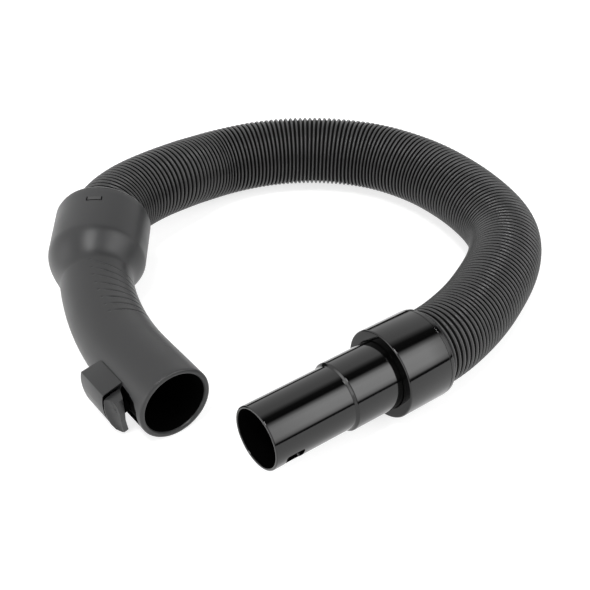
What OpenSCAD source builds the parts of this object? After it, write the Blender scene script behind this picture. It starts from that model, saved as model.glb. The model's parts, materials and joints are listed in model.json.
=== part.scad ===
// Vacuum cleaner hose assembly: a corrugated stretch hose with a bent hand grip,
// its wand latch and swivel bell on one end, and a stepped swivel cuff on the other.
// Millimetres, +Z up, floor at z = 0, origin under the middle of the grip and the cuff.

/* [Cuff] */
// Radius of the spigot that plugs into the machine
spigot_r = 17.5; // [16.8:0.1:18]
// Length of the spigot
spigot_len = 49; // [35:1:70]
// Radius of the stepped part behind the spigot
step_r = 19; // [18.5:0.1:19.1]
// Visible length of the stepped part
step_len = 30; // [15:1:50]
// Radius of the air bore through the cuff
cuff_bore_r = 16; // [14:0.1:16.2]
// Outer radius of the collar
collar_r = 24.9; // [24.2:0.1:27]

/* [Hose] */
// Outer radius of the hose over its corrugations
hose_r = 22; // [21.9:0.05:22]
// Inner radius of the hose
hose_bore_r = 18.6; // [18.4:0.1:19.5]

/* [Grip] */
// Outer radius of the grip tube
grip_r = 20.85; // [20.6:0.05:20.85]
// Radius of the wand socket in the grip's mouth
socket_r = 17.75; // [17.5:0.05:17.9]
// Depth of the wand socket
socket_len = 45; // [38:1:48]
// Radius of the air duct behind the socket
duct_r = 16.2; // [14:0.1:17]
// Length of the straight stretch at the mouth
mouth_len = 37; // [36:1:45]
// Radius of the grip's bend
bend_r = 170; // [165:1:180]
// Roll of the grip about its mouth, which lifts the bell's end
roll = 15; // [13:1:17]

/* [Bell] */
// Heading of the bell against the mouth
bell_turn = 38; // [36:1:40]
// Outer radius of the bell
bell_r = 28.5; // [28.2:0.1:31]
// Length of the bell's cylinder
bell_len = 30.5; // [29.5:0.5:36]
// Bore of the bell
bell_bore_r = 26.2; // [26.1:0.05:26.3]

/* [Latch] */
// Outer radius of the latch about the grip tube
latch_r = 30.8; // [30.4:0.1:32]
// Height of the latch's flat top over the middle of the grip
latch_top = 14.5; // [13.5:0.1:14.8]

/* [Hidden] */
$fn = 96;

grip_color = [0.31, 0.31, 0.32];
hose_color = [0.24, 0.24, 0.25];
gloss_color = [0.04, 0.04, 0.045];
trim_color = [0.2, 0.2, 0.21];
steel_color = [0.7, 0.71, 0.73];

// Places of the two ends
cuff_mouth = [-32.6, -97.8, 24.9];
grip_mouth = [-48.6, -49.5, 21.1];

// Hose route, from the stop inside the bell to the stop inside the collar
ROUTE = [
    [-19.1, 82, 28.9], [-11.4, 92.3, 31], [-3.7, 101.4, 32.2], [5.2, 109.3, 32.5],
    [15.5, 115.4, 32.1], [26.6, 119.6, 31.6], [38.2, 122.6, 30.9], [49.9, 125.1, 29.8],
    [61.5, 127.6, 28.1], [73, 130.3, 26.1], [84.6, 132.3, 24.1], [96.3, 133.2, 22.7],
    [108.9, 131.9, 22.2], [122.9, 128.6, 22.1], [139, 122.4, 22.1], [153.6, 114.2, 22.1],
    [167.3, 103.8, 22.1], [179.3, 91.7, 22.1], [190.2, 76.6, 22.1], [198.8, 57.1, 22.1],
    [203.3, 40.1, 22.1], [205.1, 23, 22.1], [205, 6, 22.1], [202.9, -11.2, 22.1],
    [198.7, -28, 22.1], [191.1, -43.7, 22.1], [179.3, -56.9, 22.1], [163.1, -68.5, 22.1],
    [146.6, -77.2, 22.1], [131.5, -84, 22.2], [117.4, -89.2, 22.7], [104.3, -93.1, 23.4],
    [92.2, -96, 24.3], [79, -97.5, 24.8], [70, -97.8, 24.9], [61, -97.8, 24.9]
];
HOSE_SIDES = 12;
GRIP_SIDES = 48;

// The grip's bend tightens along the bell's shoulder
bend_turn = 25;
shoulder_bend_r = 95;

// Pieces inside the bell, as heights along its axis from the rim
bell_depth = 29;
lip_r = 27.8;
lip_back = 0.15;
lip_front = 1.7;
ring_back = -13;
ring_bore_r = 24.3;
sleeve_r = 24;
sleeve_front = -4;
sleeve_flare = -12;
sleeve_stop = -25;
sleeve_back = -26.2;
flange_r = 25.9;
flange_front = -13.3;
flange_back = -17;
seal_front = -26.5;
window_turn = 80;
window_w = 9.4;
window_h = 3.4;
window_z = -9.2;
fit_gap = 0.05;

// Places along the cuff from its mouth
collar_front = spigot_len + step_len;
collar_groove = collar_front + 28;
collar_back = collar_front + 32.3;
collar_hole_r = 19.3;
cavity_r = 21.7;
cavity_start = collar_front + 3.2;
socket_start = collar_front + 12;
cuff_seal_end = collar_front + 5.9;
cuff_flange_start = collar_front + 6.2;
cuff_flange_end = collar_front + 9;
cuff_flange_r = 21.4;
snap_start = collar_front + 9.4;
snap_end = collar_front + 11.4;
snap_r = 22.8;
cuff_tube_end = collar_front + 21;
tail_r = 17.5;

// Latch, in the grip's own axes: x across, y along, z up
pin_x = -25.1;
pin_y = 27;
pin_r = 1.6;
pin_low = -5.6;
pin_len = 19.4;
housing_front = 20.8;
housing_back = 42.8;
lever_front = 13;
lever_back = 20.6;
lever_top = 12.1;
housing_low = -6.2;
latch_wall = 1.4;
arm_gap = 0.8;
spring_y = 34;
spring_r = 2;
spring_wire_r = 0.3;
spring_turns = 4;

function unit(v) = v / norm(v);
function smooth(t) = t * t * (3 - 2 * t);

// Ring of n points of radius r, centred at c and square to the direction t
function ring(c, t, r, n) =
    let (side = unit(cross(t, [0, 0, 1])), up = cross(side, t))
    [for (i = [0 : n - 1]) c + r * (cos(360 * i / n) * side + sin(360 * i / n) * up)];

// Triangles between two rings of n points whose first points are a and b
function band(a, b, n) = [
    for (k = [0 : n - 1]) each [
        [a + k, a + (k + 1) % n, b + (k + 1) % n],
        [a + k, b + (k + 1) % n, b + k]
    ]
];

// Solid through rings of n points, closed at both ends
module swept_solid(rings, n) {
    last = len(rings) - 1;
    polyhedron(
        points = [for (r = rings) each r],
        faces = concat(
            [for (i = [0 : last - 1]) each band(i * n, (i + 1) * n, n)],
            [[for (k = [n - 1 : -1 : 0]) k], [for (k = [0 : n - 1]) last * n + k]]));
}

// Tube between outer and inner rings of n points, with flat ends
module swept_tube(outer, inner, n) {
    last = len(outer) - 1;
    inside = (last + 1) * n;
    polyhedron(
        points = concat([for (r = outer) each r], [for (r = inner) each r]),
        faces = concat(
            [for (i = [0 : last - 1]) each band(i * n, (i + 1) * n, n)],
            [for (i = [0 : last - 1]) each band(inside + (i + 1) * n, inside + i * n, n)],
            band(inside, 0, n),
            band(last * n, inside + last * n, n)));
}

// Tube of outer radius ro and inner radius ri from z0 to z1
module tube(ro, ri, z0, z1) translate([0, 0, z0]) difference() {
    cylinder(r = ro, h = z1 - z0);
    translate([0, 0, -1]) cylinder(r = ri, h = z1 - z0 + 2);
}

// Centre line of the grip at heading a, in the plane of its bend
shoulder_start = [bend_r * (1 - cos(bend_turn)), mouth_len + bend_r * sin(bend_turn)];
function grip_centre(a) = a <= bend_turn
    ? [bend_r * (1 - cos(a)), mouth_len + bend_r * sin(a), 0]
    : [shoulder_start.x + shoulder_bend_r * (cos(bend_turn) - cos(a)),
       shoulder_start.y + shoulder_bend_r * (sin(a) - sin(bend_turn)), 0];
function heading(a) = [sin(a), cos(a), 0];
function along_shoulder(a) = min(1, max(0, (a - bend_turn) / (bell_turn - bend_turn)));
GRIP_HEADINGS = concat(
    [for (i = [0 : 6]) bend_turn * i / 7],
    [for (i = [0 : 9]) bend_turn + (bell_turn - bend_turn) * i / 9]);
rim_centre = grip_centre(bell_turn) + bell_len * heading(bell_turn);

// Axes of the grip: +Y runs into its mouth and +X points to the inner side of the bend
module on_grip() translate(grip_mouth) rotate([0, -roll, 0]) children();

// Axes of the bell: origin at the rim's centre, +Z out of the bell
module on_bell() on_grip() translate(rim_centre) rotate([0, 0, -bell_turn]) rotate([-90, 0, 0]) children();

// Axes of the cuff: origin at its mouth, +Z towards the hose
module on_cuff() translate(cuff_mouth) rotate([0, 90, 0]) children();

// ---- Grip ----

// Rings of the bend and shoulder, from radius r0 on the bend to r1 at the bell
function bend_rings(r0, r1) = [
    for (a = GRIP_HEADINGS)
        ring(grip_centre(a), heading(a), r0 + (r1 - r0) * smooth(along_shoulder(a)), GRIP_SIDES)
];

// The skin stops a little inside the round mouth and bell that it joins
module bend_skin() {
    step_in = 0.1;
    join = 2;
    mouth_ring = ring([0, mouth_len - join, 0], [0, 1, 0], grip_r - step_in, GRIP_SIDES);
    bell_ring = ring(grip_centre(bell_turn) + join * heading(bell_turn), heading(bell_turn),
                     bell_r - step_in, GRIP_SIDES);
    swept_solid(concat([mouth_ring], bend_rings(grip_r - step_in, bell_r - step_in), [bell_ring]),
                GRIP_SIDES);
}

// Air duct from the bottom of the socket to the bore of the bell
module bend_duct() {
    seat_r = 22.5;
    reach = bell_len - bell_depth + 0.5;
    bell_ring = ring(grip_centre(bell_turn) + reach * heading(bell_turn), heading(bell_turn),
                     seat_r, GRIP_SIDES);
    swept_solid(concat(bend_rings(duct_r, seat_r), [bell_ring]), GRIP_SIDES);
}

// Mouth with a rounded edge
module mouth_tube() rotate([-90, 0, 0]) rotate_extrude() {
    edge_r = 1.2;
    polygon(concat(
        [[0, 0]],
        [for (a = [-90 : 15 : 0]) [grip_r - edge_r + edge_r * cos(a), edge_r + edge_r * sin(a)]],
        [[grip_r, mouth_len], [0, mouth_len]]));
}

// Socket with a lead-in, from its mouth to the wand's stop
module socket() rotate([-90, 0, 0]) {
    lead_r = 18.4;
    lead_len = 1.5;
    translate([0, 0, -1]) cylinder(r = socket_r, h = socket_len + 1);
    translate([0, 0, -lead_len]) cylinder(r1 = 2 * lead_r - socket_r, r2 = socket_r, h = 2 * lead_len);
}

// Blocks that stand through both snap windows of the bell
module snap_blocks(r0, r1, w, h) for (turn = [0, 180])
    rotate(turn - window_turn) translate([r0, -w / 2, window_z - h / 2]) cube([r1 - r0, w, h]);

// Window in the grip's wall for the latch's tooth
module tooth_window() translate([-grip_r - 2, 13, -0.5]) cube([grip_r - 10, 6.9, 8]);

// Recess in the grip's wall behind the finger tab
module tab_recess() difference() {
    translate([-grip_r - 2, 0, 0]) rotate([90, 0, 90]) linear_extrude(grip_r - 10)
        polygon([[20.3, 12.9], [13, 12.4], [8, 10.8], [5.5, 7.5], [5, 0], [5, -4.5], [20.3, -4.5]]);
    rotate([-90, 0, 0]) cylinder(r = 19.2, h = 30);
}

module handle_shell() color(grip_color) difference() {
    union() {
        on_grip() mouth_tube();
        on_grip() bend_skin();
        on_bell() translate([0, 0, -bell_len]) cylinder(r = bell_r, h = bell_len);
    }
    on_grip() socket();
    on_grip() bend_duct();
    on_grip() tooth_window();
    on_grip() tab_recess();
    on_bell() translate([0, 0, -bell_depth]) cylinder(r = bell_bore_r, h = bell_depth + 1);
    on_bell() snap_blocks(bell_bore_r - 2, bell_r + 1, window_w, window_h);
}

// ---- Latch ----

// Shell of radius r0 to r1 about the grip's tube, from y0 to y1
module around_grip(r0, r1, y0, y1) rotate([-90, 0, 0]) tube(r1, r0, y0, y1);

// Plan of the latch housing: round at its back, seen along z
module housing_plan() {
    corner_r = 5;
    root_r = 3;
    root_x = -15.3;
    hull() {
        translate([-latch_r - 0.5 + corner_r, housing_back - corner_r]) circle(r = corner_r);
        translate([root_x - root_r, housing_back - root_r]) circle(r = root_r);
        translate([-latch_r - 0.5, housing_front]) square([latch_r + 0.5 + root_x, 1]);
    }
}

// Room inside a wall of thickness w above and below, out to radius r and back to y1
module latch_room(w, r, y1) intersection() {
    around_grip(grip_r - 2, r, housing_front - 1, y1);
    translate([-latch_r, housing_front - 1, housing_low + w]) cube([latch_r, 30, latch_top - housing_low - 2 * w]);
}

// Room for the lever's arm, with a wider opening at the front
module latch_cavity() {
    latch_room(latch_wall, latch_r - 1.8, housing_back - 3.5);
    latch_room(0.6, latch_r - 0.6, housing_front + 2);
}

module latch_housing() color(grip_color) on_grip() difference() {
    intersection() {
        around_grip(grip_r + 0.05, latch_r, housing_front, housing_back);
        translate([0, 0, housing_low]) linear_extrude(latch_top - housing_low) housing_plan();
    }
    latch_cavity();
    translate([pin_x, pin_y, pin_low]) cylinder(r = pin_r, h = pin_len);
}

// Outline of the finger tab across the grip: flat above, round outside, drawn in to a tip below
module tab_outline() {
    intersection() {
        difference() {
            circle(r = latch_r - 0.2);
            circle(r = grip_r + 0.7);
        }
        polygon([[-18, lever_top], [-31, lever_top], [-31, 0], [-30.5, -5], [-29.4, -8.8], [-27.5, -12.7],
                 [-24.7, -12.7], [-23.6, -6], [-21.9, 0], [-20.6, 6]]);
    }
}

module latch_lever() color(grip_color) on_grip() difference() {
    arm_low = housing_low + latch_wall + arm_gap;
    arm_w = 12;
    union() {
        // Finger tab
        translate([0, lever_back, 0]) rotate([90, 0, 0]) linear_extrude(lever_back - lever_front) tab_outline();
        // Arm that reaches past the pin to the spring
        translate([-26.6, lever_back - 1, arm_low]) cube([3.4, 17.3, arm_w]);
        translate([pin_x, pin_y, arm_low]) cylinder(r = 2.6, h = arm_w);
        // Tooth that catches the wand
        translate([-26, 15.3, 0.5]) cube([7.6, 3, 6]);
    }
    translate([pin_x, pin_y, -20]) cylinder(r = pin_r + fit_gap, h = 40);
    // Finger scoop outside, slope inside, slope down to the tip
    translate([-35.2, 12.2, 0]) cylinder(r = 9.4, h = 40, center = true);
    linear_extrude(40, center = true) polygon([[-20.6, 12], [-17.8, 20], [-12, 20], [-12, 12]]);
    translate([-40, 0, 0]) rotate([90, 0, 90]) linear_extrude(30)
        polygon([[12, 3], [13, 3], [15.8, -13], [12, -13]]);
    // Relief behind the tab's outer edge, which swings back as the lever turns
    linear_extrude(40, center = true)
        polygon([[-32, 22], [-32, 19.5], [-27.5, 20.2], [-25.1, 20.6], [-25.1, 22]]);
    // Pocket of the spring
    translate([-24.6, spring_y, 0]) rotate([0, 90, 0]) cylinder(r = 2.6, h = 5);
}

module latch_pin() color(steel_color) on_grip()
    translate([pin_x, pin_y, pin_low]) cylinder(r = pin_r, h = pin_len);

// Coil spring between the grip's wall and the arm's pocket
module latch_spring() color(steel_color) on_grip() {
    from = -24.55;
    to = -grip_r - 0.05;
    sides = 6;
    steps = 14;
    count = spring_turns * steps;
    rise = (to - from - 2 * spring_wire_r) / count;
    rings = [for (i = [0 : count]) let (
            a = 360 * i / steps,
            c = [from + spring_wire_r + rise * i, spring_y + spring_r * cos(a), spring_r * sin(a)],
            radial = [0, cos(a), sin(a)])
        [for (k = [0 : sides - 1]) c + spring_wire_r * (cos(360 * k / sides) * radial
                                                        + sin(360 * k / sides) * [1, 0, 0])]];
    swept_solid(rings, sides);
}

// ---- Swivel of the bell ----

module swivel_ring() color(trim_color) on_bell() {
    tube(bell_bore_r - fit_gap, ring_bore_r, ring_back, lip_front);
    tube(lip_r, ring_bore_r, lip_back, lip_front);
    snap_blocks(bell_bore_r - 0.5, bell_r - 0.3, window_w - 0.5, window_h - 0.5);
}

module swivel_seal() color(trim_color) on_bell() tube(bell_bore_r - fit_gap, 22.7, -bell_depth, seal_front);

module hose_sleeve() color(trim_color) on_bell() {
    tube(sleeve_r, hose_r, sleeve_stop, sleeve_flare);
    tube(sleeve_r, hose_r + 1, sleeve_flare, sleeve_front);
    tube(sleeve_r, hose_bore_r, sleeve_back, sleeve_stop);
    tube(flange_r, hose_r + 0.5, flange_back, flange_front);
}

// ---- Hose ----

function route_direction(i) = unit(ROUTE[min(len(ROUTE) - 1, i + 1)] - ROUTE[max(0, i - 1)]);
function hose_rings(r) = [
    for (i = [0 : len(ROUTE) - 1]) ring(ROUTE[i], route_direction(i), r, HOSE_SIDES)
];

module hose() color(hose_color) swept_tube(hose_rings(hose_r), hose_rings(hose_bore_r), HOSE_SIDES);

// ---- Cuff ----

// Collar with a round front edge, a fine groove and a chamfer down to the hose
module cuff_collar() color(gloss_color) on_cuff() rotate_extrude() {
    edge_r = 1.2;
    back_r = hose_r + 0.9;
    groove = 0.4;
    polygon(concat(
        [[collar_hole_r, collar_front]],
        [for (a = [-90 : 15 : 0])
            [collar_r - edge_r + edge_r * cos(a), collar_front + edge_r + edge_r * sin(a)]],
        [[collar_r, collar_groove], [collar_r - groove, collar_groove],
         [collar_r - groove, collar_groove + groove], [collar_r - 0.1, collar_groove + groove],
         [collar_r - 0.35, collar_back - 1.7], [back_r, collar_back], [hose_r, collar_back], [hose_r, socket_start],
         [cavity_r, socket_start], [cavity_r, snap_end], [snap_r, snap_end], [snap_r, snap_start],
         [cavity_r, snap_start], [cavity_r, cavity_start], [collar_hole_r, cavity_start]]));
}

// Window through the spigot that the machine's catch snaps into
module slot() {
    corner_r = 1.5;
    slot_start = 6.5;
    slot_end = 17.5;
    half_w = 5.6;
    rotate(29) rotate([90, 0, 0]) linear_extrude(spigot_r + 2) hull()
        for (x = [-half_w + corner_r, half_w - corner_r], z = [slot_start + corner_r, slot_end - corner_r])
            translate([x, z]) circle(r = corner_r);
}

module cuff_tube() color(gloss_color) on_cuff() difference() {
    union() {
        cylinder(r = spigot_r, h = spigot_len + 0.5);
        translate([0, 0, spigot_len]) cylinder(r1 = spigot_r, r2 = step_r, h = 1);
        translate([0, 0, spigot_len + 1]) cylinder(r = step_r, h = cuff_flange_end + 2 - spigot_len);
        translate([0, 0, cuff_flange_start]) cylinder(r = cuff_flange_r, h = cuff_flange_end - cuff_flange_start);
        translate([0, 0, cuff_flange_end]) cylinder(r = tail_r, h = cuff_tube_end - cuff_flange_end);
    }
    translate([0, 0, -1]) cylinder(r = cuff_bore_r, h = cuff_tube_end + 2);
    slot();
}

module cuff_seal() color(trim_color) on_cuff() tube(cavity_r - fit_gap, collar_hole_r, cavity_start, cuff_seal_end);

// Split ring in the collar's groove
module cuff_snap_ring() color(trim_color) on_cuff() difference() {
    tube(snap_r - fit_gap, collar_hole_r + 0.3, snap_start, snap_end);
    rotate(90) translate([0, -4, snap_start - 1]) cube([30, 8, 4]);
}

handle_shell();
latch_housing();
latch_lever();
latch_pin();
latch_spring();
swivel_ring();
swivel_seal();
hose_sleeve();
hose();
cuff_collar();
cuff_tube();
cuff_seal();
cuff_snap_ring();
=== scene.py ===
"""Looks of the vacuum cleaner hose: a corrugated hose, a bent hand grip and a gloss swivel cuff.

Lengths are in millimetres, as in part.scad, and become metres as each mesh is made."""

import json
import math

import bmesh
import bpy
import numpy as np
from mathutils import Matrix, Vector


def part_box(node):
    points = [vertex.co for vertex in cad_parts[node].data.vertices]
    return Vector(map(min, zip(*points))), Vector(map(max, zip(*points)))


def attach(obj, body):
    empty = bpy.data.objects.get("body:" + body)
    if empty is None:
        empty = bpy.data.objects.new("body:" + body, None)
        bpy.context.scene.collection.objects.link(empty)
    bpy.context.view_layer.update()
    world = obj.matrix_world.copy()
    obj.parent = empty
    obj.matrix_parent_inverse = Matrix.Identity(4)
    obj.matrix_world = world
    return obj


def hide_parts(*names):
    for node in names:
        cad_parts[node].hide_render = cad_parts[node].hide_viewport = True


MM = 0.001

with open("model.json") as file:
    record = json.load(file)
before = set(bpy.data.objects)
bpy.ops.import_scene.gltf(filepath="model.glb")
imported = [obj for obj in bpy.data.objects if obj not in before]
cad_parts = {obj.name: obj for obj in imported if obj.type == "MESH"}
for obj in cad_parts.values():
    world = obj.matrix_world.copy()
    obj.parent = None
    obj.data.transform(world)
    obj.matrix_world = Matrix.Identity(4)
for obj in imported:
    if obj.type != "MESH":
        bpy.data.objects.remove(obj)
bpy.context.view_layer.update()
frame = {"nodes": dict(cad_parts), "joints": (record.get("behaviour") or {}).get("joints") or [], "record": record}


joints = {j["name"]: j for j in frame["joints"]}
mounts = {m["name"]: m for m in frame["record"]["mounts"]}

# ---- Sizes shared with part.scad ----

SPIGOT_R = 17.5
SPIGOT_LEN = 49
STEP_R = 19
STEP_LEN = 30
CUFF_BORE_R = 16
COLLAR_FRONT = SPIGOT_LEN + STEP_LEN
COLLAR_R = 24.9
HOSE_R = 22
HOSE_BORE_R = 18.6
GRIP_R = 20.85
SOCKET_R = 17.75
SOCKET_LEN = 45
DUCT_R = 16.2
MOUTH_LEN = 37
BEND_R = 170
BEND_TURN = 25
SHOULDER_BEND_R = 95
ROLL = 15
BELL_TURN = 38
BELL_R = 28.5
BELL_LEN = 30.5
BELL_BORE_R = 26.2
BELL_DEPTH = 29
WINDOW_TURN = 80
WINDOW_W = 9.4
WINDOW_H = 3.4
WINDOW_Z = -9.2
LATCH_R = 30.8
LATCH_TOP = 14.5
HOUSING_LOW = -6.2
HOUSING_FRONT = 20.8
HOUSING_BACK = 42.8
LEVER_TOP = 12.1
LEVER_BACK = 20.6
PIN = (-25.1, 27)
PIN_R = 1.6
RING_BORE_R = 24.3
RING_BACK = -13
LIP_R = 27.8

# Sizes that only the visible shapes have: rounded edges, the duct's end behind the bell and the tab's tip
MOUTH_EDGE = 1.2
RIM_EDGE = 0.7
DUCT_END_R = 22.5
LEVER_LOW = -12.7
# The ring's lip stands 0.3 mm further out than in part.scad, so that it shows beside the rim
LIP_BACK = 0.6
LIP_FRONT = 2.0

# The hose's route, as in part.scad, from inside the bell to inside the collar
ROUTE = [
    (-19.1, 82, 28.9), (-11.4, 92.3, 31), (-3.7, 101.4, 32.2), (5.2, 109.3, 32.5),
    (15.5, 115.4, 32.1), (26.6, 119.6, 31.6), (38.2, 122.6, 30.9), (49.9, 125.1, 29.8),
    (61.5, 127.6, 28.1), (73, 130.3, 26.1), (84.6, 132.3, 24.1), (96.3, 133.2, 22.7),
    (108.9, 131.9, 22.2), (122.9, 128.6, 22.1), (139, 122.4, 22.1), (153.6, 114.2, 22.1),
    (167.3, 103.8, 22.1), (179.3, 91.7, 22.1), (190.2, 76.6, 22.1), (198.8, 57.1, 22.1),
    (203.3, 40.1, 22.1), (205.1, 23, 22.1), (205, 6, 22.1), (202.9, -11.2, 22.1),
    (198.7, -28, 22.1), (191.1, -43.7, 22.1), (179.3, -56.9, 22.1), (163.1, -68.5, 22.1),
    (146.6, -77.2, 22.1), (131.5, -84, 22.2), (117.4, -89.2, 22.7), (104.3, -93.1, 23.4),
    (92.2, -96, 24.3), (79, -97.5, 24.8), (70, -97.8, 24.9), (61, -97.8, 24.9),
]  # fmt: skip

# ---- Axes of the three groups, as 4 by 4 matrices in millimetres ----


def shift(x, y, z):
    return Matrix.Translation((x, y, z))


def turn(degrees, axis):
    return Matrix.Rotation(math.radians(degrees), 4, axis)


def grip_centre(a):
    """Centre line of the grip at heading a, in degrees."""
    if a <= BEND_TURN:
        t = math.radians(a)
        return Vector((BEND_R * (1 - math.cos(t)), MOUTH_LEN + BEND_R * math.sin(t), 0))
    start, t0, t = grip_centre(BEND_TURN), math.radians(BEND_TURN), math.radians(a)
    return start + SHOULDER_BEND_R * Vector((math.cos(t0) - math.cos(t), math.sin(t) - math.sin(t0), 0))


def heading(a):
    return Vector((math.sin(math.radians(a)), math.cos(math.radians(a)), 0))


grip_mouth = Vector(mounts["handle_mouth"]["pos_m"]) / MM
grip_mouth.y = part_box("handle_shell")[0].y / MM
cuff_mouth = Vector(joints["cuff_swivel"]["pos_m"]) / MM
GRIP = Matrix.Translation(grip_mouth) @ turn(-ROLL, "Y")
RIM = grip_centre(BELL_TURN) + BELL_LEN * heading(BELL_TURN)
BELL = GRIP @ Matrix.Translation(RIM) @ turn(-BELL_TURN, "Z") @ turn(-90, "X")
CUFF = Matrix.Translation(cuff_mouth) @ turn(90, "Y")

# ---- Camera ----

CAMERA_AT = (-259.2, -431.8, 423.3)
CAMERA_DOWN = 37.53
CAMERA_TURN = 36.87
LENS_MM = 70.2

camera = bpy.data.objects.new("camera", bpy.data.cameras.new("camera"))
bpy.context.scene.collection.objects.link(camera)
camera.location = Vector(CAMERA_AT) * MM
camera.rotation_euler = (math.radians(90 - CAMERA_DOWN), 0, math.radians(-CAMERA_TURN))
camera.data.lens = LENS_MM
camera.data.sensor_width = 36
camera.data.clip_start = 0.01
bpy.context.scene.camera = camera

# ---- Mesh tools ----


def new_piece(name, verts, faces, axes=None, sharp=35):
    """A smooth-shaded mesh object from points in millimetres, in the given axes."""
    mesh = bpy.data.meshes.new(name)
    mesh.from_pydata([tuple(v) for v in verts], [], faces)
    if axes is not None:
        mesh.transform(axes)
    mesh.transform(Matrix.Scale(MM, 4))
    mesh.update()
    piece = bpy.data.objects.new(name, mesh)
    bpy.context.scene.collection.objects.link(piece)
    tidy(piece, sharp)
    return piece


def tidy(piece, sharp=35):
    """Joins doubled points, turns the faces outwards and marks the sharp edges."""
    bm = bmesh.new()
    bm.from_mesh(piece.data)
    bmesh.ops.remove_doubles(bm, verts=bm.verts, dist=1e-7)
    bmesh.ops.dissolve_degenerate(bm, edges=bm.edges, dist=1e-7)
    bmesh.ops.recalc_face_normals(bm, faces=bm.faces)
    bm.to_mesh(piece.data)
    bm.free()
    piece.data.shade_smooth()
    piece.data.set_sharp_from_angle(angle=math.radians(sharp))


def grid_faces(rows, n, closed_rows=False):
    """Quads between rows of n points, each row a closed ring."""
    faces = []
    for i in range(rows if closed_rows else rows - 1):
        a, b = i * n, (i + 1) % rows * n
        faces += [(a + k, a + (k + 1) % n, b + (k + 1) % n, b + k) for k in range(n)]
    return faces


def fillet(points, steps=6):
    """Rounds the corners of a closed outline. Each point is (x, y) or (x, y, radius)."""
    out = []
    count = len(points)
    for i, point in enumerate(points):
        p = Vector(point[:2])
        radius = point[2] if len(point) > 2 else 0
        before, after = Vector(points[i - 1][:2]), Vector(points[(i + 1) % count][:2])
        a, b = (before - p).normalized(), (after - p).normalized()
        half = a.angle(b) / 2
        if radius <= 0 or half > math.radians(89):
            out.append(tuple(p))
            continue
        reach = radius / math.tan(half)
        centre = p + (a + b).normalized() * radius / math.sin(half)
        start, end = p + a * reach - centre, p + b * reach - centre
        sweep = start.angle_signed(end)
        for s in range(steps + 1):
            t = -sweep * s / steps
            out.append((centre.x + start.x * math.cos(t) - start.y * math.sin(t),
                        centre.y + start.x * math.sin(t) + start.y * math.cos(t)))
    return out


def lathe(name, profile, axes, segments=192, sharp=35):
    """A solid of revolution about local Z, from a closed outline of (radius, height)."""
    angles = [2 * math.pi * k / segments for k in range(segments)]
    verts = [(r * math.cos(a), r * math.sin(a), z) for r, z in profile for a in angles]
    return new_piece(name, verts, grid_faces(len(profile), segments, closed_rows=True), axes, sharp)


def block(name, low, high, axes):
    """A plain block, used only to cut other pieces."""
    verts = [(x, y, z) for x in (low[0], high[0]) for y in (low[1], high[1]) for z in (low[2], high[2])]
    faces = [(0, 1, 3, 2), (4, 6, 7, 5), (0, 4, 5, 1), (2, 3, 7, 6), (0, 2, 6, 4), (1, 5, 7, 3)]
    return new_piece(name, verts, faces, axes)


def loft(name, sections, axes):
    """A solid through closed sections, each a list of as many points."""
    verts = [v for section in sections for v in section]
    n = len(sections[0])
    faces = grid_faces(len(sections), n)
    faces += [tuple(range(n)), tuple(range(len(verts) - 1, len(verts) - n - 1, -1))]
    return new_piece(name, verts, faces, axes)


def plan_solid(name, outline, z0, z1, axes):
    """A solid with the given (x, y) outline between two heights."""
    return loft(name, [[(x, y, z) for x, y in outline] for z in (z0, z1)], axes)


def rod(name, radius, z0, z1, axes, segments=64):
    """A plain rod, used only in cuts and joins."""
    return lathe(name, [(0.001, z0), (radius, z0), (radius, z1), (0.001, z1)], axes, segments)


def apply_modifiers(piece):
    """Replaces a piece's mesh by the mesh that its modifiers make."""
    graph = bpy.context.evaluated_depsgraph_get()
    mesh = bpy.data.meshes.new_from_object(piece.evaluated_get(graph))
    piece.modifiers.clear()
    old, piece.data = piece.data, mesh
    bpy.data.meshes.remove(old)


def combine(piece, others, how="DIFFERENCE", sharp=35):
    """Cuts other pieces out of a piece, or joins them to it, and removes them."""
    for other in others:
        modifier = piece.modifiers.new("combine", "BOOLEAN")
        modifier.operation = how
        modifier.solver = "EXACT"
        modifier.object = other
    apply_modifiers(piece)
    for other in others:
        bpy.data.objects.remove(other)
    tidy(piece, sharp)


def round_edges(piece, width, angle=40, segments=3, sharp=35):
    """Rounds every edge of a piece that is sharper than angle."""
    modifier = piece.modifiers.new("round", "BEVEL")
    modifier.width = width * MM
    modifier.segments = segments
    modifier.limit_method = "ANGLE"
    modifier.angle_limit = math.radians(angle)
    modifier.use_clamp_overlap = True
    apply_modifiers(piece)
    tidy(piece, sharp)


# ---- Hose ----

GROOVE_DEPTH = 2.0
# Power of the corrugation's cosine: above 1 it makes broad crests and narrow valleys
VALLEY_POWER = 1.6
# Part of the groove's depth below which a valley's bottom gets painted shade, a near-black material
VALLEY_SHADE_FROM = 0.37
ROWS_PER_TURN = 8
HOSE_SEGMENTS = 96
BORE_RINGS = 260
SPLINE_SAMPLES = 4000
# The hose lies stretched a little more in some places: pitch of its helix at lengths along it
PITCH = [(0, 2.95), (60, 3.1), (95, 3.42), (135, 3.25), (175, 3.06), (260, 3.05), (310, 3.13),
         (355, 3.25), (410, 3.08), (520, 3.0)]
# Radius over its crests at lengths along it: a little narrower where it is stretched
CREST = [(0, 22), (60, 22), (80, 21.8), (135, 22.05), (175, 22.3), (210, 22.3), (255, 21.95),
         (330, 21.75), (390, 21.75), (430, 21.85), (520, 22.05)]


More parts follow.
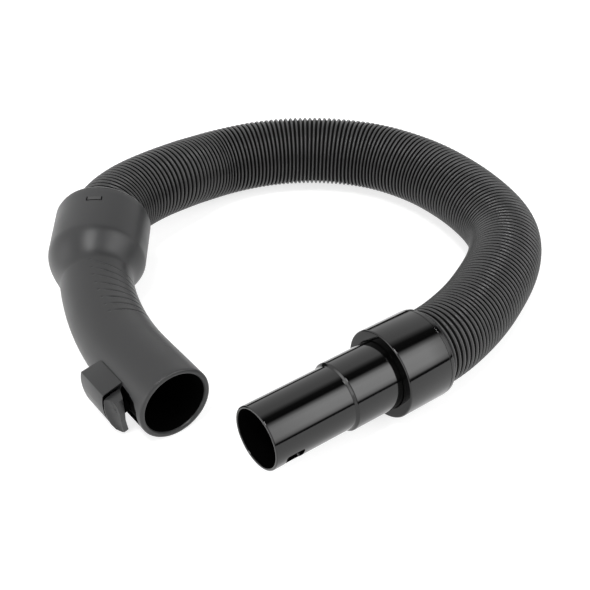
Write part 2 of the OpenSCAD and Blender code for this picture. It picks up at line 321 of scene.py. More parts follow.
def spline(points, per_mm):
    """A smooth curve through points, as samples spaced evenly along it."""
    p = np.array(points, float)
    chord = np.r_[0, np.cumsum(np.linalg.norm(np.diff(p, axis=0), axis=1))]
    count = len(p)
    h = np.diff(chord)
    system, right = np.zeros((count, count)), np.zeros((count, 3))
    system[0, 0] = system[-1, -1] = 1
    for i in range(1, count - 1):
        system[i, i - 1 : i + 2] = h[i - 1], 2 * (h[i - 1] + h[i]), h[i]
        right[i] = 6 * ((p[i + 1] - p[i]) / h[i] - (p[i] - p[i - 1]) / h[i - 1])
    bend = np.linalg.solve(system, right)
    t = np.linspace(0, chord[-1], SPLINE_SAMPLES)
    i = np.clip(np.searchsorted(chord, t, side="right") - 1, 0, count - 2)
    a, b, hi = (chord[i + 1] - t)[:, None], (t - chord[i])[:, None], h[i][:, None]
    fine = (bend[i] * a**3 + bend[i + 1] * b**3) / (6 * hi)
    fine += (p[i] / hi - bend[i] * hi / 6) * a + (p[i + 1] / hi - bend[i + 1] * hi / 6) * b
    s = np.r_[0, np.cumsum(np.linalg.norm(np.diff(fine, axis=0), axis=1))]
    even = np.linspace(0, s[-1], int(s[-1] * per_mm) + 1)
    return np.stack([np.interp(even, s, fine[:, k]) for k in range(3)], axis=1), even


hose_line, hose_s = spline(ROUTE, per_mm=2)
HOSE_LEN = float(hose_s[-1])
hose_way = np.gradient(hose_line, axis=0)
hose_way /= np.linalg.norm(hose_way, axis=1)[:, None]


def on_hose(s, angle, radius):
    """Points on a tube about the hose's line, from arrays of place, angle and radius."""
    c = np.stack([np.interp(s, hose_s, hose_line[:, k]) for k in range(3)], axis=-1)
    t = np.stack([np.interp(s, hose_s, hose_way[:, k]) for k in range(3)], axis=-1)
    t /= np.linalg.norm(t, axis=-1)[..., None]
    side = np.cross(t, [0, 0, 1.0])
    side /= np.linalg.norm(side, axis=-1)[..., None]
    up = np.cross(side, t)
    return c + radius[..., None] * (np.cos(angle)[..., None] * side + np.sin(angle)[..., None] * up)


def corrugation(turns):
    """Depth below the crest, from 0 to 1, at a place counted in turns of the helix."""
    valley = 0.5 + 0.5 * np.cos(2 * math.pi * turns)
    return valley**VALLEY_POWER


def helix_skin(depth, rows_per_turn, segments):
    """Rows of points that follow the helix, cut off square at both ends of the hose."""
    pitch = np.interp(hose_s, *zip(*PITCH))
    turn_at = np.r_[0, np.cumsum(np.diff(hose_s) / ((pitch[1:] + pitch[:-1]) / 2))]
    turns = int(turn_at[-1]) + 2
    row = np.arange(turns * rows_per_turn + 1)[:, None] / rows_per_turn
    around = np.arange(segments)[None, :] / segments
    place = np.clip(row + around - 1, 0, turn_at[-1])
    s = np.interp(place, turn_at, hose_s)
    angle = np.broadcast_to(2 * math.pi * around, s.shape)
    points = on_hose(s, angle, np.interp(s, *zip(*CREST)) - depth * corrugation(place - around))
    faces = []
    n, rows = segments, len(row)
    for i in range(rows - 1):
        for k in range(n - 1):
            faces.append((i * n + k, i * n + k + 1, (i + 1) * n + k + 1, (i + 1) * n + k))
    for i in range(rows - 1 - rows_per_turn):
        j = i + rows_per_turn
        faces.append((i * n + n - 1, j * n, (j + 1) * n, (i + 1) * n + n - 1))
    return points.reshape(-1, 3), faces


def ring_skin(radius, rows, segments):
    """Rings of points on the hose's line."""
    s = np.broadcast_to(np.linspace(0, HOSE_LEN, rows)[:, None], (rows, segments))
    angle = np.broadcast_to(2 * math.pi * np.arange(segments)[None, :] / segments, s.shape)
    return on_hose(s, angle, np.full(s.shape, float(radius))).reshape(-1, 3)


def make_hose():
    """The hose: a helical skin over a smooth bore, closed at both ends."""
    outer, faces = helix_skin(GROOVE_DEPTH, ROWS_PER_TURN, HOSE_SEGMENTS)
    inner = ring_skin(HOSE_BORE_R, BORE_RINGS, HOSE_SEGMENTS)
    first, n = len(outer), HOSE_SEGMENTS
    faces += [tuple(first + i for i in face) for face in grid_faces(BORE_RINGS, n)]
    last_outer, last_inner = len(outer) - n, first + (BORE_RINGS - 1) * n
    for k in range(n):
        j = (k + 1) % n
        faces.append((k, j, first + j, first + k))
        faces.append((last_outer + k, last_outer + j, last_inner + j, last_inner + k))
    # Its corrugation has no real edges, so only folds sharper than 120 degrees are marked sharp
    return new_piece("hose_skin", np.vstack([outer, inner]), faces, sharp=120)


def paint_valley_shade(skin, mat):
    """Paints shade into the bottoms of the hose's valleys, as a second, near-black material."""
    skin.data.materials.append(mat)
    for face in skin.data.polygons:
        place = np.array(face.center) / MM
        near = int(np.argmin(((hose_line - place) ** 2).sum(axis=1)))
        off = place - hose_line[near]
        reach = math.sqrt(max(0, (off**2).sum() - (off @ hose_way[near]) ** 2))
        crest = np.interp(hose_s[near], *zip(*CREST))
        if crest - reach > VALLEY_SHADE_FROM * GROOVE_DEPTH:
            face.material_index = 1


hose_skin = make_hose()
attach(hose_skin, "hose")
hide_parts("hose")

# ---- Grip ----

SHOULDER_START = MOUTH_LEN + BEND_R * math.radians(BEND_TURN)
SHOULDER_END = SHOULDER_START + SHOULDER_BEND_R * math.radians(BELL_TURN - BEND_TURN)
GRIP_END = SHOULDER_END + BELL_LEN


def grip_place(s):
    """Centre and heading of the grip's line at a length s from its mouth."""
    if s <= MOUTH_LEN:
        return Vector((0, s, 0)), 0
    if s <= SHOULDER_START:
        a = math.degrees((s - MOUTH_LEN) / BEND_R)
        return grip_centre(a), a
    if s <= SHOULDER_END:
        a = BEND_TURN + math.degrees((s - SHOULDER_START) / SHOULDER_BEND_R)
        return grip_centre(a), a
    return grip_centre(BELL_TURN) + (s - SHOULDER_END) * heading(BELL_TURN), BELL_TURN


def swell(s, r0, r1):
    """Radius that grows smoothly from r0 to r1 along the shoulder."""
    t = min(1, max(0, (s - SHOULDER_START) / (SHOULDER_END - SHOULDER_START)))
    return r0 + (r1 - r0) * t * t * (3 - 2 * t)


# Heading at which each finger groove starts, and how far it drops towards the inner side
GROOVES = [(24.6, 3.4), (22.3, 3.2), (20.1, 3), (17.8, 2.7), (15.6, 2.3), (13.3, 1.8), (11.1, 1.4),
           (8.9, 1.1)]
GROOVE_END = 82
GROOVE_HALF_W = 0.45
GROOVE_CUT = 0.42
# Half sizes of the dimple at each groove's end, in mm along the grip and in degrees about it
DIMPLE_HALF = (0.55, 1.5)
DIMPLE_CUT = 0.4


def groove_depth(a, angle):
    """Depth of the finger grooves at heading a and angle about the grip, both in degrees."""
    spread = math.degrees(1 / BEND_R)
    angle = abs(angle)
    depth = 0
    if angle > GROOVE_END + 4:
        return 0
    for start, drop in GROOVES:
        line = start - drop * (1 - min(1, angle / GROOVE_END) ** 2)
        off = (a - line) / spread / GROOVE_HALF_W
        fade = min(1, max(0, (GROOVE_END - 5 - angle) / 10))
        depth = max(depth, GROOVE_CUT * fade * math.exp(-off * off))
        along, across = (a - start) / spread / DIMPLE_HALF[0], (angle - GROOVE_END) / DIMPLE_HALF[1]
        depth = max(depth, DIMPLE_CUT * math.exp(-along**2 - across**2))
    return depth


def spaced(low, high, step):
    """Places from low to high, about a step apart."""
    count = max(1, round(abs(high - low) / step))
    return [low + (high - low) * i / count for i in range(count + 1)]


def rounded_end(end, radius, edge, way):
    """Points round the outer edge of a tube's end, from its side to its end face.

    way is 1 where the tube runs up to the end and -1 where it runs from it."""
    turns = [math.radians(15 * k) for k in range(1, 7)]
    return [(end - way * edge * (1 - math.sin(t)), radius - edge * (1 - math.cos(t))) for t in turns]


def grip_profile():
    """The grip's wall as (length, radius), and how many of its points are on the carved outside.

    It runs over the outside from the mouth to the bell's rim, and back through the bell, duct and socket."""
    outside = spaced(MOUTH_EDGE, MOUTH_LEN + 20, 3)[:-1]
    outside += spaced(MOUTH_LEN + 20, SHOULDER_START + 2, 0.3)[:-1]
    outside += spaced(SHOULDER_START + 2, SHOULDER_END, 1)
    outside += spaced(SHOULDER_END + 2, GRIP_END - RIM_EDGE, 3)
    profile = [(s, swell(s, GRIP_R, BELL_R)) for s in outside]
    profile += rounded_end(GRIP_END, BELL_R, RIM_EDGE, 1)
    profile += [(GRIP_END, BELL_BORE_R + 0.5), (GRIP_END - 0.15, BELL_BORE_R + 0.15),
                (GRIP_END - 0.5, BELL_BORE_R)]
    profile += [(s, BELL_BORE_R) for s in spaced(GRIP_END - 3, GRIP_END - BELL_DEPTH, 5)]
    duct = [GRIP_END - BELL_DEPTH] + spaced(SHOULDER_END, SHOULDER_START, 2)
    duct += spaced(SHOULDER_START - 2, SOCKET_LEN, 2)
    profile += [(s, swell(s, DUCT_R, DUCT_END_R)) for s in duct]
    profile += [(s, SOCKET_R) for s in spaced(SOCKET_LEN, 2, 8)]
    profile += [(s, SOCKET_R + flare) for s, flare in ((1.2, 0.1), (0.35, 0.4), (0.1, 0.65), (0, 0.95))]
    profile += rounded_end(0, GRIP_R, MOUTH_EDGE, -1)[::-1]
    return profile, len(outside)


def make_grip():
    """The grip's shell, its profile swept along the bent line as rings."""
    profile, outside = grip_profile()
    segments = 240
    up = Vector((0, 0, 1))
    verts = []
    for row, (s, r) in enumerate(profile):
        centre, a = grip_place(s)
        inner_side = Vector((math.cos(math.radians(a)), -math.sin(math.radians(a)), 0))
        carved = row < outside and 0 < a < BELL_TURN
        for k in range(segments):
            angle = 360 * k / segments
            around = angle if angle <= 180 else angle - 360
            reach = r - (groove_depth(a, around) if carved else 0)
            t = math.radians(angle)
            verts.append(centre + reach * (math.cos(t) * inner_side + math.sin(t) * up))
    faces = grid_faces(len(profile), segments, closed_rows=True)
    return new_piece("grip_shell", verts, faces, GRIP, sharp=30)


# Axes of the two snap windows, one on each side of the bell
WINDOW_AXES = [BELL @ turn(side - WINDOW_TURN, "Z") for side in (0, 180)]
# Gap between a window's edges and the ring's tab in it
TAB_GAP = 0.8


def make_ring():
    """The ring in the bell's rim, with a lip in front of the rim and a tab in each snap window."""
    outer_r = BELL_BORE_R - 0.05
    outline = fillet([(RING_BORE_R, RING_BACK), (outer_r, RING_BACK), (outer_r, LIP_BACK),
                      (LIP_R, LIP_BACK, 0.2), (LIP_R, LIP_FRONT, 0.7), (RING_BORE_R, LIP_FRONT, 0.4)])
    ring = lathe("swivel_ring_shell", outline, BELL)
    low, high = WINDOW_Z - WINDOW_H / 2 + TAB_GAP, WINDOW_Z + WINDOW_H / 2 + 0.02
    half = WINDOW_W / 2 - TAB_GAP
    for axes in WINDOW_AXES:
        tab = rod("tab", BELL_R - 0.04, low, high, axes, 256)
        sides = block("sides", (BELL_BORE_R - 1, -half, low - 1), (BELL_R, half, high + 1), axes)
        combine(tab, [sides], "INTERSECT")
        combine(ring, [tab], "UNION")
    return ring


def snap_windows():
    """Cutters of the two snap windows in the bell."""
    low = (BELL_BORE_R - 2, -WINDOW_W / 2, WINDOW_Z - WINDOW_H / 2)
    high = (BELL_R + 1, WINDOW_W / 2, WINDOW_Z + WINDOW_H / 2)
    return [block("cut", low, high, axes) for axes in WINDOW_AXES]


def tab_recess():
    """Cutter of the recess behind the finger tab, with sloping sides and a round bottom."""
    opening_x, floor_x, floor_r = -22.5, -12, 19.2
    back = 20.4
    mid_y, mid_z = 14, 4
    flare_y, flare_z = 1.2, 1.12
    outline = [(20.3, 12.9), (13, 12.4), (8, 10.8), (5.5, 7.5), (5, 0), (5, -4.5), (20.3, -4.5)]
    opening = [(opening_x, min(back, mid_y + flare_y * (y - mid_y)), mid_z + flare_z * (z - mid_z))
               for y, z in outline]
    cutter = loft("recess", [opening, [(floor_x, y, z) for y, z in outline]], GRIP)
    combine(cutter, [rod("bottom", floor_r, -5, 40, GRIP @ turn(-90, "X"), 128)])
    return cutter


grip_shell = make_grip()
windows = snap_windows()
swivel_ring = make_ring()
# Opening in the grip's wall for the latch's tooth
tooth_window = block("cut", (-GRIP_R - 2, 13, -0.5), (-12, 19.9, 7.5), GRIP)
combine(grip_shell, windows + [tooth_window, tab_recess()], sharp=30)

# ---- Latch ----

# Heights of the pin's hole in the housing and of the lever's arm
PIN_HOLE_Z = (-5.6, 13.5)
ARM_Z = (-4.7, 8)
# Radius of the hub about the pin and of the spring's pocket
HUB_R = 2.6


def grip_ring(name, r0, r1, y0, y1, segments=256):
    """A ring about the grip's straight part."""
    profile = [(r0, -y1), (r1, -y1), (r1, -y0), (r0, -y0)]
    return lathe(name, profile, GRIP @ turn(90, "X"), segments)


def housing_room(name, side_wall, wall, back):
    """Cutter of a hollow in the latch's housing, open in front and as deep as back."""
    ring = grip_ring(name, GRIP_R - 2, LATCH_R - side_wall, HOUSING_FRONT - 1, back)
    room = block("room", (-LATCH_R, HOUSING_FRONT - 1, HOUSING_LOW + wall),
                 (0, HOUSING_BACK, LATCH_TOP - wall), GRIP)
    combine(ring, [room], "INTERSECT")
    return ring


def make_housing():
    """The latch's housing: flat above and below, round outside, with round corners at its back."""
    root, corner = -14.2, 3
    body = grip_ring("latch_housing_shell", GRIP_R + 0.05, LATCH_R, HOUSING_FRONT, HOUSING_BACK + 1.5)
    outline = fillet([(-LATCH_R - 1, HOUSING_FRONT), (root, HOUSING_FRONT),
                      (root, HOUSING_BACK - 0.3, corner), (-LATCH_R - 0.2, HOUSING_BACK + 1.1, corner)],
                     steps=12)
    combine(body, [plan_solid("plan", outline, HOUSING_LOW, LATCH_TOP, GRIP)], "INTERSECT")
    round_edges(body, 0.7)
    cavity = housing_room("cavity", 1.8, 1.4, HOUSING_BACK - 3.5)
    # The walls get thinner towards the front edge
    combine(cavity, [housing_room("opening", 0.6, 0.6, HOUSING_FRONT + 2)], "UNION")
    # Seam between the housing's flat top and the grip
    seam = grip_ring("seam", GRIP_R - 1, GRIP_R + 0.35, HOUSING_FRONT - 1, HOUSING_BACK + 1)
    top = block("top", (-LATCH_R, 0, LATCH_TOP - 1.3), (0, HOUSING_BACK + 2, LATCH_TOP + 1), GRIP)
    combine(seam, [top], "INTERSECT")
    combine(body, [cavity, seam, rod("hole", PIN_R, *PIN_HOLE_Z, GRIP @ shift(*PIN, 0))])
    return body


# Places across the grip of the finger tab's edges, at heights from its tip to its top, each (z, x):
# its outer edge, the ridge between its finger scoop and narrow front face, and its inner edge, in front
# and behind
TAB_OUTER = [(-12.7, -27.6), (-8.8, -29.8), (-5, -30.6), (0, -30.9), (6, -30.2), (12.1, -28.2)]
TAB_RIDGE = [(-12.7, -27.1), (-8, -26.8), (-3, -26.3), (3, -25.3), (8, -25), (12.1, -25.1)]
TAB_INNER = [(-12.7, -24.5), (-4, -23.9), (3, -22.4), (12.1, -20.6)]
TAB_ROOT = [(-12.7, -24), (-4, -22.8), (3, -21.6), (6, -20.8), (12.1, -18)]
# Where the relief of the tab's back corner starts and ends, so that it clears the housing as it tips
TAB_RELIEF, TAB_BACK = -27.5, -25.1
# How far back from the grip's mouth the ridge and the scoop's outer edge stand, at the same heights
TAB_CREST = [(-12.7, 16), (-8, 15.3), (-3, 14.4), (3, 13.6), (12.1, 13)]
TAB_RIM = [(-12.7, 16.6), (-8, 17.8), (-3, 18.4), (3, 18.8), (12.1, 19.3)]


def at_height(places, z):
    return float(np.interp(z, *zip(*places)))


def tab_section(z, columns):
    """Outline of the finger tab at one height, as (x, y) from its inner edge round its front to its back."""
    outer, ridge = at_height(TAB_OUTER, z), at_height(TAB_RIDGE, z)
    inner, root = at_height(TAB_INNER, z), at_height(TAB_ROOT, z)
    crest, rim = at_height(TAB_CREST, z), at_height(TAB_RIM, z)
    points = [(root, 19.9), (inner + 0.3, crest + 0.3), (inner, crest)]
    for k in range(columns + 1):
        t = k / columns
        points.append((ridge + (outer - ridge) * t, crest + (rim - crest) * (1 - (1 - t) ** 3)))
    points += [(outer, 19.5), (max(TAB_RELIEF, outer + 0.1), 20.1)]
    points += [(min(TAB_BACK, root - 0.3), LEVER_BACK), (root, LEVER_BACK)]
    return points


def make_tab():
    """The finger tab, as sections from its tip to its top."""
    rows, columns = 100, 40
    sections = []
    for i in range(rows + 1):
        z = LEVER_LOW + (LEVER_TOP - LEVER_LOW) * i / rows
        sections.append([(x, y, z) for x, y in tab_section(z, columns)])
    tab = loft("latch_lever_tab", sections, GRIP)
    round_edges(tab, 0.4, angle=35, sharp=50)
    return tab


def make_lever():
    """The latch's lever: finger tab, arm with its hub on the pin, tooth, and pocket for the spring."""
    tab = make_tab()
    arm = block("arm", (-26.6, LEVER_BACK - 1, ARM_Z[0]), (-23.2, 37.2, ARM_Z[1]), GRIP)
    at_pin = GRIP @ shift(*PIN, 0)
    tooth = block("tooth", (-26, 15.3, 0.5), (-18.4, 18.3, 6.5), GRIP)
    combine(tab, [arm, rod("hub", HUB_R, *ARM_Z, at_pin), tooth], "UNION")
    pocket = rod("pocket", HUB_R, 0, 5, GRIP @ shift(-24.6, 34, 0) @ turn(90, "Y"))
    combine(tab, [rod("hole", PIN_R + 0.05, -20, 20, at_pin), pocket])
    return tab


latch_housing = make_housing()
latch_lever = make_lever()

# ---- Cuff ----


def make_cuff_tube():
    """The spigot and step with rounded edges, then the flange that turns in the collar."""
    flange, flange_end, neck, end = 85.2, 88, 90, 100
    flange_r, neck_r = 21.4, 17.5
    outline = [
        (CUFF_BORE_R, 0, 0.5), (SPIGOT_R, 0, 0.7), (SPIGOT_R, SPIGOT_LEN, 0.6), (STEP_R, SPIGOT_LEN + 1, 0.9),
        (STEP_R, flange, 0), (flange_r, flange, 0.3), (flange_r, flange_end, 0.3), (STEP_R, flange_end, 0),
        (STEP_R, neck, 0.3), (neck_r, neck, 0.3), (neck_r, end, 0.4), (CUFF_BORE_R, end, 0.4),
    ]  # fmt: skip
    tube = lathe("cuff_tube_shell", fillet(outline), CUFF, 256)
    w, z0, z1, corner = 5.6, 6.5, 17.5, 1.5
    slot = fillet([(-w, z0, corner), (w, z0, corner), (w, z1, corner), (-w, z1, corner)], steps=8)
    axes = CUFF @ turn(29, "Z") @ turn(90, "X")
    combine(tube, [plan_solid("slot", slot, 0, 19.5, axes)])
    return tube


def make_collar():
    """The collar that holds the flange and the hose, with a fine groove near its back edge."""
    throat_r, seat_r, ring_r = 19.3, 21.7, 22.8
    groove, groove_end = COLLAR_FRONT + 28, COLLAR_FRONT + 28 + 0.4
    seat, ring, ring_end, hose_end = (COLLAR_FRONT + z for z in (3.2, 9.4, 11.4, 12))
    back = COLLAR_FRONT + 32.3
    outline = [
        (throat_r, COLLAR_FRONT, 0.25), (COLLAR_R, COLLAR_FRONT, 0.9), (COLLAR_R, groove, 0.15),
        (COLLAR_R - 0.4, groove, 0.1), (COLLAR_R - 0.4, groove_end, 0.1), (COLLAR_R - 0.1, groove_end, 0.2),
        (COLLAR_R - 0.35, back - 1.7, 0.8), (HOSE_R + 0.9, back, 0.4), (HOSE_R, back, 0.2),
        (HOSE_R, hose_end), (seat_r, hose_end), (seat_r, ring_end), (ring_r, ring_end),
        (ring_r, ring), (seat_r, ring), (seat_r, seat), (throat_r, seat),
    ]  # fmt: skip
    return lathe("cuff_collar_shell", fillet(outline, steps=8), CUFF, 256)


cuff_tube = make_cuff_tube()
cuff_collar = make_collar()

# ---- Materials ----


class Nodes:
    """A short way to write a shader's node tree."""

    def __init__(self, tree):
        self.tree = tree
        self.tree.nodes.clear()

    def add(self, kind, inputs=None, **settings):
        node = self.tree.nodes.new(kind)
        for key, value in settings.items():
            setattr(node, key, value)
        for key, value in (inputs or {}).items():
            if isinstance(value, bpy.types.NodeSocket):
                self.tree.links.new(value, node.inputs[key])
            else:
                node.inputs[key].default_value = value
        return node

    def calculate(self, operation, first, second):
        return self.add("ShaderNodeMath", {0: first, 1: second}, operation=operation).outputs[0]

    def noise(self, scale, detail, roughness=0.5):
        """Noise in the object's own metres, so its grain has a real size."""
        where = self.add("ShaderNodeTexCoord").outputs["Object"]
        return self.add("ShaderNodeTexNoise", {"Vector": where, "Scale": scale, "Detail": detail,
                                               "Roughness": roughness}).outputs["Fac"]

    def spread(self, value, low, high, start=0.3, end=0.7):
        """Maps a value from start..end to low..high."""
        return self.add("ShaderNodeMapRange", {"Value": value, "From Min": start, "From Max": end,
                                               "To Min": low, "To Max": high}).outputs["Result"]

    def shades(self, value, dark, light):
        """A colour between two greys or colours."""
        mix = self.add("ShaderNodeMix", {"Factor": value}, data_type="RGBA")
        mix.inputs["A"].default_value = (*dark, 1)
        mix.inputs["B"].default_value = (*light, 1)
        return mix.outputs["Result"]


# Scales of the cloudy changes in shade and in gloss, per metre
CLOUDS = 18
GLOSS_CLOUDS = 45
# How much of the fine grain is its finest part
GRAIN_ROUGHNESS = 0.6


def material(name, dark, light, rough, grain, bump, metallic=0.0, specular=0.5):
    """Moulded plastic, rubber or metal: a fine grain, cloudy gloss and slight shade changes.

    rough is the lowest and highest roughness, grain the grain's size in mm and bump its height in mm."""
    mat = bpy.data.materials.new(name)
    mat.use_nodes = True
    nodes = Nodes(mat.node_tree)
    cloud = nodes.noise(CLOUDS, 3)
    fine = nodes.noise(1 / (grain * MM), 3, GRAIN_ROUGHNESS)
    mixed = nodes.calculate("ADD", nodes.spread(cloud, 0, 0.6), nodes.spread(fine, 0, 0.4))
    colour = nodes.shades(mixed, dark, light)
    gloss = nodes.spread(nodes.noise(GLOSS_CLOUDS, 4), *rough)
    height = nodes.add("ShaderNodeBump", {"Height": fine, "Distance": bump * MM, "Strength": 1.0})
    shader = nodes.add("ShaderNodeBsdfPrincipled", {
        "Base Color": colour, "Roughness": gloss, "Normal": height.outputs[0], "Metallic": metallic,
        "Specular IOR Level": specular})
    nodes.add("ShaderNodeOutputMaterial", {"Surface": shader.outputs[0]})
    return mat


def paint(piece, mat):
    piece.data.materials.clear()
    piece.data.materials.append(mat)


def grey(level, tint=0.0):
    """A linear grey, a little bluer with a positive tint."""
    return (level * (1 - tint), level * (1 - tint / 2), level * (1 + tint))


matte = material("grip_plastic", grey(0.017, 0.01), grey(0.023, 0.02), (0.36, 0.44), 0.3, 0.01, specular=0.42)
hose_plastic = material("hose_skin", grey(0.024), grey(0.031, 0.01), (0.32, 0.4), 0.5, 0.012)
# Painted shade: a near-black material for the bottoms of the hose's valleys
painted_valley_shade = material("painted_valley_shade", grey(0.001), grey(0.002), (0.6, 0.7), 0.5, 0.012, specular=0.12)
# Shades, roughness, grain and bump of the gloss black parts
high_gloss = (grey(0.0008), grey(0.0015, 0.02), (0.05, 0.09), 2.5, 0.0015)
gloss_black = material("cuff_plastic", *high_gloss)
# The gloss black with less reflection, which paints shade onto the collar's front face
front_painted_shade = material("collar_front", *high_gloss, specular=0.25)
trim = material("trim_plastic", grey(0.022), grey(0.028), (0.3, 0.4), 0.3, 0.01)
# A lighter grey that paints a highlight onto the front of the ring's lip
lip_painted_highlight = material("swivel_ring_lip_painted_highlight", grey(0.1), grey(0.12), (0.3, 0.4), 0.3, 0.01)
rubber = material("seal_rubber", grey(0.006), grey(0.01), (0.65, 0.8), 0.4, 0.02)
# Painted shade: a near-black material that hardly reflects, put into hollows, bores, recesses and the housing's
# front rim
shade = material("painted_shade_inside", grey(0.0004), grey(0.0008), (0.7, 0.85), 0.3, 0.01, specular=0.02)
steel = material("steel", (0.5, 0.5, 0.51), (0.6, 0.6, 0.62), (0.2, 0.35), 0.2, 0.002, metallic=1.0)

PIECES = [
    (grip_shell, "handle", "grip_plastic", "handle_shell", matte),
    (latch_housing, "handle", "grip_plastic", "latch_housing", matte),
    (latch_lever, "latch", "grip_plastic", "latch_lever", matte),
    (cuff_tube, "cuff_tube", "cuff_plastic", "cuff_tube", gloss_black),
    (cuff_collar, "hose", "cuff_plastic", "cuff_collar", gloss_black),
    (swivel_ring, "handle", "trim_plastic", "swivel_ring", trim),
]
for piece, body, slot, node, mat in PIECES:
    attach(piece, body)
    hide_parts(node)
    paint(piece, mat)
paint(hose_skin, hose_plastic)
# Painted shade in the hose's valley bottoms
paint_valley_shade(hose_skin, painted_valley_shade)


def paint_inside(piece, mat, axes, radius, low, high, down=-99, up=99):
    """Gives a second material to the faces inside a radius, between two places along Z and two along -Y. Here it
    paints shade into hollows and onto the collar's front face, and a highlight onto the ring's lip.
    """
    if piece.data.materials[-1] != mat:
        piece.data.materials.append(mat)
    back = axes.inverted()
    for face in piece.data.polygons:
        p = back @ (face.center / MM)
        if low < p.z < high and down < -p.y < up and math.hypot(p.x, p.y) < radius:
            face.material_index = 1


# Along these axes Z runs from the grip's mouth to its bend, and -Y is the grip's own up
along_grip = GRIP @ turn(-90, "X")
# Painted shade: near-black on the housing's hollow and its front rim, then on the wall of the grip's socket and in
# the recess behind the tab
paint_inside(latch_housing, shade, along_grip, LATCH_R - 0.5, HOUSING_FRONT + 0.01, HOUSING_BACK - 3.4,
             HOUSING_LOW + 0.5, LATCH_TOP - 0.5)
paint_inside(latch_housing, shade, along_grip, 40, HOUSING_FRONT - 0.1, HOUSING_FRONT + 0.25,
             up=LATCH_TOP - 0.5)
paint_inside(grip_shell, shade, along_grip, SOCKET_R + 0.05, 1, SOCKET_LEN + 10)
paint_inside(grip_shell, shade, along_grip, GRIP_R - 0.15, 3, 20.5, -6, 14)
# Painted shade on the lever's tooth and its arm
paint_inside(latch_lever, shade, along_grip, 24.5, 15, 18.6, 0.3, 6.7)
paint_inside(latch_lever, shade, along_grip, 40, LEVER_BACK - 1.2, 40)
# Painted shade in the cuff's bore
paint_inside(cuff_tube, shade, CUFF, CUFF_BORE_R + 0.1, 1, 120)
# Painted shade on the collar's front face: the gloss black with less reflection
paint_inside(cuff_collar, front_painted_shade, CUFF, COLLAR_R - 0.6, COLLAR_FRONT - 0.1, COLLAR_FRONT + 0.5)
# A painted highlight: a lighter grey on the front edge and face of the ring's lip
paint_inside(swivel_ring, lip_painted_highlight, BELL, LIP_R + 1, LIP_BACK + 0.6, LIP_FRONT + 0.1)

# The nodes that stay as the CAD has them
for node, mat in (("hose_sleeve", trim), ("swivel_seal", rubber), ("cuff_seal", rubber),
                  ("cuff_snap_ring", trim), ("latch_pin", steel), ("latch_spring", steel)):
    for slot in frame["nodes"][node].material_slots:
        slot.material = mat

# ---- Floor and light ----

FLOOR_HALF = 40.0
FLOOR_DROP = 0.0002
FLOOR_GLOW = 0.72


def make_floor():
    """A white floor just below the part, in metres, wide enough for every view."""
    mesh = bpy.data.meshes.new("floor")
    corners = [(-1, -1), (1, -1), (1, 1), (-1, 1)]
    mesh.from_pydata([(x * FLOOR_HALF, y * FLOOR_HALF, 0) for x, y in corners], [], [(0, 1, 2, 3)])
    floor = bpy.data.objects.new("floor", mesh)
    bpy.context.scene.collection.objects.link(floor)
    floor.location.z = -FLOOR_DROP
    mat = bpy.data.materials.new("floor")
    mat.use_nodes = True
    nodes = Nodes(mat.node_tree)
    shader = nodes.add("ShaderNodeBsdfPrincipled", {
        "Base Color": (0.45, 0.45, 0.45, 1), "Roughness": 0.9, "Specular IOR Level": 0.1,
        "Emission Color": (1, 1, 1, 1), "Emission Strength": FLOOR_GLOW})
    nodes.add("ShaderNodeOutputMaterial", {"Surface": shader.outputs[0]})
    mesh.materials.append(mat)


# Light levels at angles about the X axis, from the front at 0 through straight up at 90 to the back at 180.
# The dome is dark at the horizon in front and nearly straight up, and brightest behind
DOME = [(-180, 1.0), (-175, 0.5), (-6, 0.4), (-5, 0.02), (5, 0.02), (8, 0.6), (66, 0.4), (78, 0.02),
        (93, 0.05), (99, 0.35), (110, 1.1), (150, 1.15), (176, 1.2), (180, 0.4)]
# A bright softbox in front, and its width along X: a little to the right, with a weak rest on both sides
SOFTBOX = [(-180, 0), (6, 0), (11, 1.9), (22, 3.6), (50, 4.1), (62, 3.3), (68, 1.6), (76, 0)]
SOFTBOX_WIDTH = [(-1, 0.1), (0.12, 0.12), (0.36, 1), (0.56, 1), (0.68, 0.35), (1, 0.2)]
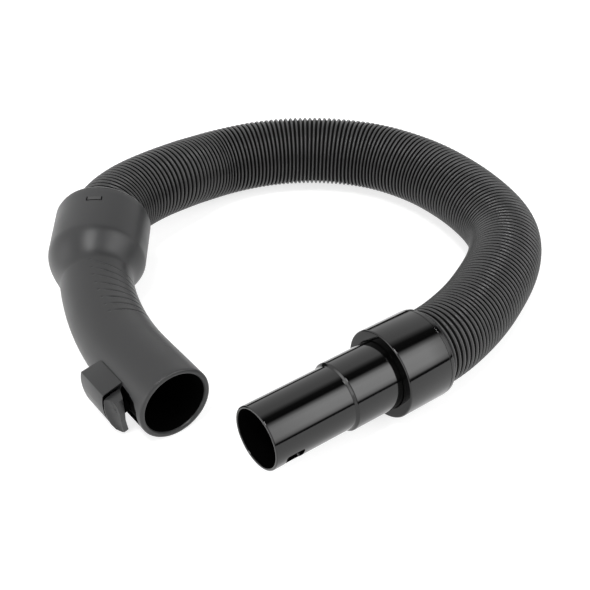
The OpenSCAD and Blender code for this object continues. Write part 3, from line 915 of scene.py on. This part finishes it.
# A small lamp nearly straight up, a little to the left
LAMP = [(72, 0), (75, 30), (85, 30), (88, 0)]
LAMP_WIDTH = [(-0.42, 0), (-0.36, 1), (-0.22, 1), (-0.16, 0)]
# A softbox at the far left
LEFT = [(-1, 2.2), (-0.88, 2.2), (-0.7, 0)]


def make_light():
    """A studio dome with a softbox in front, a lamp above and a softbox at the left."""
    world = bpy.data.worlds.new("studio")
    bpy.context.scene.world = world
    world.use_nodes = True
    nodes = Nodes(world.node_tree)
    way = nodes.add("ShaderNodeSeparateXYZ", {0: nodes.add("ShaderNodeTexCoord").outputs["Generated"]})
    front = nodes.calculate("MULTIPLY", way.outputs["Y"], -1.0)
    angle = nodes.calculate("ARCTAN2", way.outputs["Z"], front)
    degrees = nodes.calculate("MULTIPLY", angle, 180 / math.pi)

    def levels(value, half, stops, top=5.0):
        """Light levels up to top, at places along a value that runs from -half to half."""
        ramp = nodes.add("ShaderNodeValToRGB", {"Fac": nodes.spread(value, 0, 1, -half, half)})
        while len(ramp.color_ramp.elements) < len(stops):
            ramp.color_ramp.elements.new(0.5)
        for element, (place, level) in zip(ramp.color_ramp.elements, stops):
            element.position = (place + half) / (2 * half)
            element.color = (level / top, level / top, level / top, 1)
        return nodes.calculate("MULTIPLY", ramp.outputs["Color"], top)

    dome = levels(degrees, 180, DOME)
    box_width = levels(way.outputs["X"], 1, SOFTBOX_WIDTH, 1.0)
    box = nodes.calculate("MULTIPLY", levels(degrees, 180, SOFTBOX), box_width)
    lamp_width = levels(way.outputs["X"], 1, LAMP_WIDTH, 1.0)
    lamp = nodes.calculate("MULTIPLY", levels(degrees, 180, LAMP, 30.0), lamp_width)
    left = levels(way.outputs["X"], 1, LEFT)
    light = dome
    for part in (box, lamp, left):
        light = nodes.calculate("ADD", light, part)
    sky = nodes.add("ShaderNodeBackground", {"Color": (1, 1, 1, 1), "Strength": light})
    nodes.add("ShaderNodeOutputWorld", {"Surface": sky.outputs[0]})


make_floor()
make_light()
bpy.context.scene.view_settings.view_transform = "Standard"
